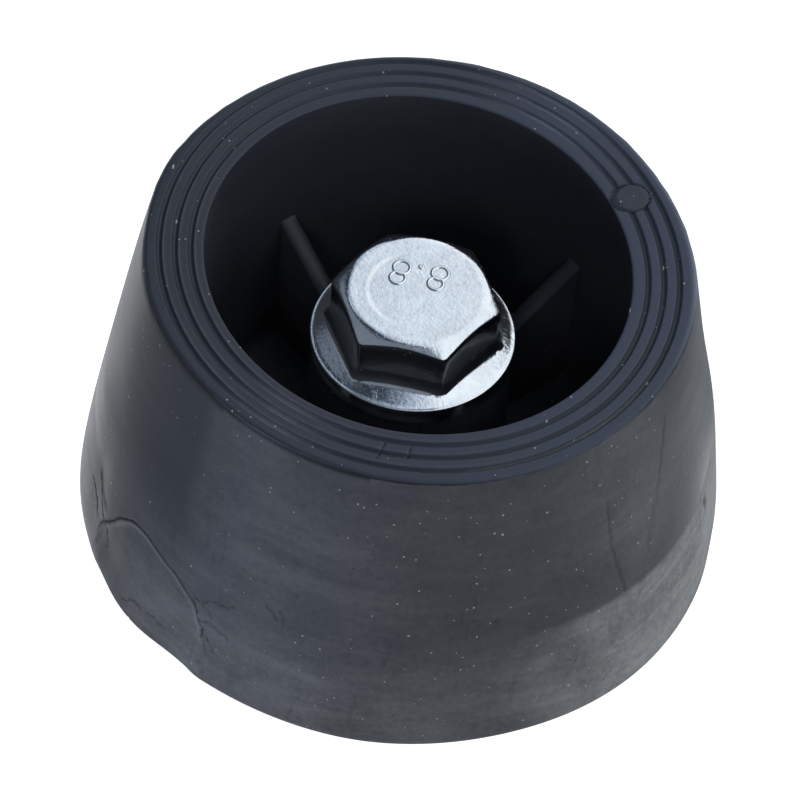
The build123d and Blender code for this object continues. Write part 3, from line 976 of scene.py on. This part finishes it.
def white_nylon():
    """Milky nylon with faint tool marks."""
    s = surface("white_nylon")
    cloud = s.noise(1.5, 2, 0.5)
    milky = s.mix(cloud, grey(0.80, 0.82, 0.84), grey(0.72, 0.74, 0.78))
    s.feed(s.principled.inputs["Base Color"], milky)
    s.feed(s.principled.inputs["Roughness"], 0.38 + cloud * 0.12)
    s.feed(s.principled.inputs["Normal"], s.bump(s.noise(0.3, 2), 0.01))
    return s.owner


# ---------------------------------------------------------------- studio

def direction(azimuth, elevation):
    """Unit vector that points from the foot to an azimuth and elevation in degrees."""
    a, e = math.radians(azimuth), math.radians(elevation)
    return Vector((math.cos(a) * math.cos(e), math.sin(a) * math.cos(e), math.sin(e)))


def softbox(name, azimuth, elevation, distance, size, power):
    """White square area lamp facing the middle of the foot. Azimuth is counted from +X."""
    lamp = bpy.data.lights.new(name, "AREA")
    lamp.size, lamp.energy = size, power
    box = bpy.data.objects.new(name, lamp)
    bpy.context.scene.collection.objects.link(box)
    way = direction(azimuth, elevation)
    box.location = Vector((0, 0, FOOT_LOW + 15)) * MM + way * distance
    box.rotation_euler = way.to_track_quat("Z", "Y").to_euler()
    box.visible_glossy = False


def studio_world():
    """White to the camera. For the rest a bright wall of light on the right, a dark band just left of
    overhead, a dim left side, and hardly any light from the front left."""
    world = bpy.data.worlds.new("studio")
    bpy.context.scene.world = world
    s = Shader(world)
    way = s.node("ShaderNodeTexCoord", output="Generated")
    x, y, up = (s.node("ShaderNodeSeparateXYZ", None, {0: way}, output=axis) for axis in range(3))
    stops = (
        (0.0, (0.18, 0.20, 0.24)), (0.30, (0.17, 0.20, 0.25)), (0.39, (0.02, 0.025, 0.035)),
        (0.53, (0.04, 0.05, 0.065)), (0.62, (0.20, 0.25, 0.33)), (0.72, (0.50, 0.58, 0.70)),
        (0.86, (1.0, 1.05, 1.1)),
    )
    lit = s.spread(x + 0.25 * y, -0.8, 0.4)
    front = s.step(-1 * y, 0.1, 0.45)
    lit = lit * (1 - front * (1 - s.step(x, 0.1, 0.35)))
    room = s.node("ShaderNodeValToRGB", {"stops": stops}, {0: lit})
    room = s.mix(s.step(up, 0.0, 0.22), grey(0.75, 0.76, 0.78), room)
    camera = s.node("ShaderNodeLightPath", output="Is Camera Ray")
    background = s.tree.nodes["Background"]
    s.feed(background.inputs["Color"], s.mix(camera, room, grey(1, 1, 1)))
    background.inputs["Strength"].default_value = 1.0


def pale_floor():
    """Wide floor under the stud's tip. It looks white, keeps a soft shadow, and is brighter in
    reflections beside and behind the foot."""
    half = 2000
    points = [(-half, -half, TIP), (half, -half, TIP), (half, half, TIP), (-half, half, TIP)]
    mesh = bpy.data.meshes.new("floor")
    mesh.from_pydata([tuple(c * MM for c in p) for p in points], [], [(0, 1, 2, 3)])
    floor = bpy.data.objects.new("floor", mesh)
    bpy.context.scene.collection.objects.link(floor)
    s = surface("pale_floor", Base_Color=grey(0.8, 0.8, 0.8), Roughness=0.9)
    lit = Wire(s, s.principled.outputs[0])
    seen = s.node("ShaderNodeLightPath", output="Is Camera Ray")
    mirrored = s.node("ShaderNodeLightPath", output="Is Glossy Ray")
    through = s.node("ShaderNodeLightPath", output="Is Transmission Ray")
    x, y = (s.node("ShaderNodeSeparateXYZ", None, {0: s.place()}, output=axis) for axis in range(2))
    aside, back = s.math("ABSOLUTE", x, 0.0) - 42, y - 20
    near = 1 - s.step(s.math("SQRT", aside * aside + back * back, 0.0), 6, 25)
    behind = s.step(y + 0.35 * x, 0, 20) * (1 - s.step(x, 0, 30))
    share = 0.463 * seen + (1 - seen) * (near + 0.42 * behind)
    colour = s.mix(share, grey(0, 0, 0), grey(1, 1, 1))
    glow = s.node("ShaderNodeEmission", None, {"Color": colour, "Strength": 1.6})
    bright = s.node("ShaderNodeAddShader", None, {0: lit, 1: glow})
    shown = s.node("ShaderNodeMixShader", None, {0: seen + mirrored + through, 1: lit, 2: bright})
    under = s.node("ShaderNodeNewGeometry", output="Backfacing")
    clear = s.node("ShaderNodeBsdfTransparent")
    shown = s.node("ShaderNodeMixShader", None, {0: under, 1: shown, 2: clear})
    s.feed(s.tree.nodes["Material Output"].inputs["Surface"], shown)
    mesh.materials.append(s.owner)


def camera():
    """Long lens above the front, leaned a little to one side."""
    elevation, lean, distance, lens = math.radians(50.2), math.radians(5.5), 440.4, 225
    aim = Vector((-0.535, 0, FOOT_LOW + 12.3))
    back = Vector((0, -math.cos(elevation), math.sin(elevation)))
    right = Vector((1, 0, 0))
    up = back.cross(right)
    across = right * math.cos(lean) + up * math.sin(lean)
    upward = up * math.cos(lean) - right * math.sin(lean)
    data = bpy.data.cameras.new("camera")
    data.lens, data.clip_start = lens, 0.01
    eye = bpy.data.objects.new("camera", data)
    bpy.context.scene.collection.objects.link(eye)
    turn = Matrix((across, upward, back)).transposed().to_4x4()
    eye.matrix_world = Matrix.Translation((aim + back * distance) * MM) @ turn
    bpy.context.scene.camera = eye


# ---------------------------------------------------------------- assembly

rubber = black_rubber()
zinc = zinc_plate("zinc_plate", (0.82, 0.86, 0.90), 0.12)
insert = zinc_plate("insert_steel", (0.50, 0.50, 0.51), 0.34, 0.7)
nylon = white_nylon()

settle(rubber_foot(), "foot", rubber, "rubber_foot")
settle(base_ring(), "foot", insert, "base_washer")
settle(flange_bolt(), "stud", zinc, "flange_bolt")
foot_side = plain_washer("washer_at_foot", "bearing_washer")
settle(foot_side, "stud", zinc, "bearing_washer")
nut_low, nut_high, _ = levels("retaining_nut")
collar = (COLLAR_RADIUS, nut_low, COLLAR_LIP)
locking = hex_nut("self_locking_nut", nut_low + COLLAR_HEIGHT, nut_high, GRIP_BORE, collar)
settle(locking, "stud", zinc, "retaining_nut")
settle(nylon_ring(), "stud", nylon, "nylon_insert")
nut_low, nut_high, _ = levels("lock_nut")
thin = hex_nut("thin_lock_nut", nut_low, nut_high, LOCK_NUT_BORE)
settle(thin, "height_lock", zinc, "lock_nut")
furniture_side = plain_washer("washer_at_furniture", "furniture_washer")
settle(furniture_side, "sliding_washer", zinc, "furniture_washer")
for hidden in ("seat_washer", "spacer_sleeve"):
    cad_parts[hidden].data.materials.clear()
    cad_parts[hidden].data.materials.append(insert)

studio_world()
pale_floor()
softbox("front_lamp", azimuth=262, elevation=38, distance=0.6, size=0.16, power=0.5)
camera()

bpy.context.scene.view_settings.view_transform = "Standard"
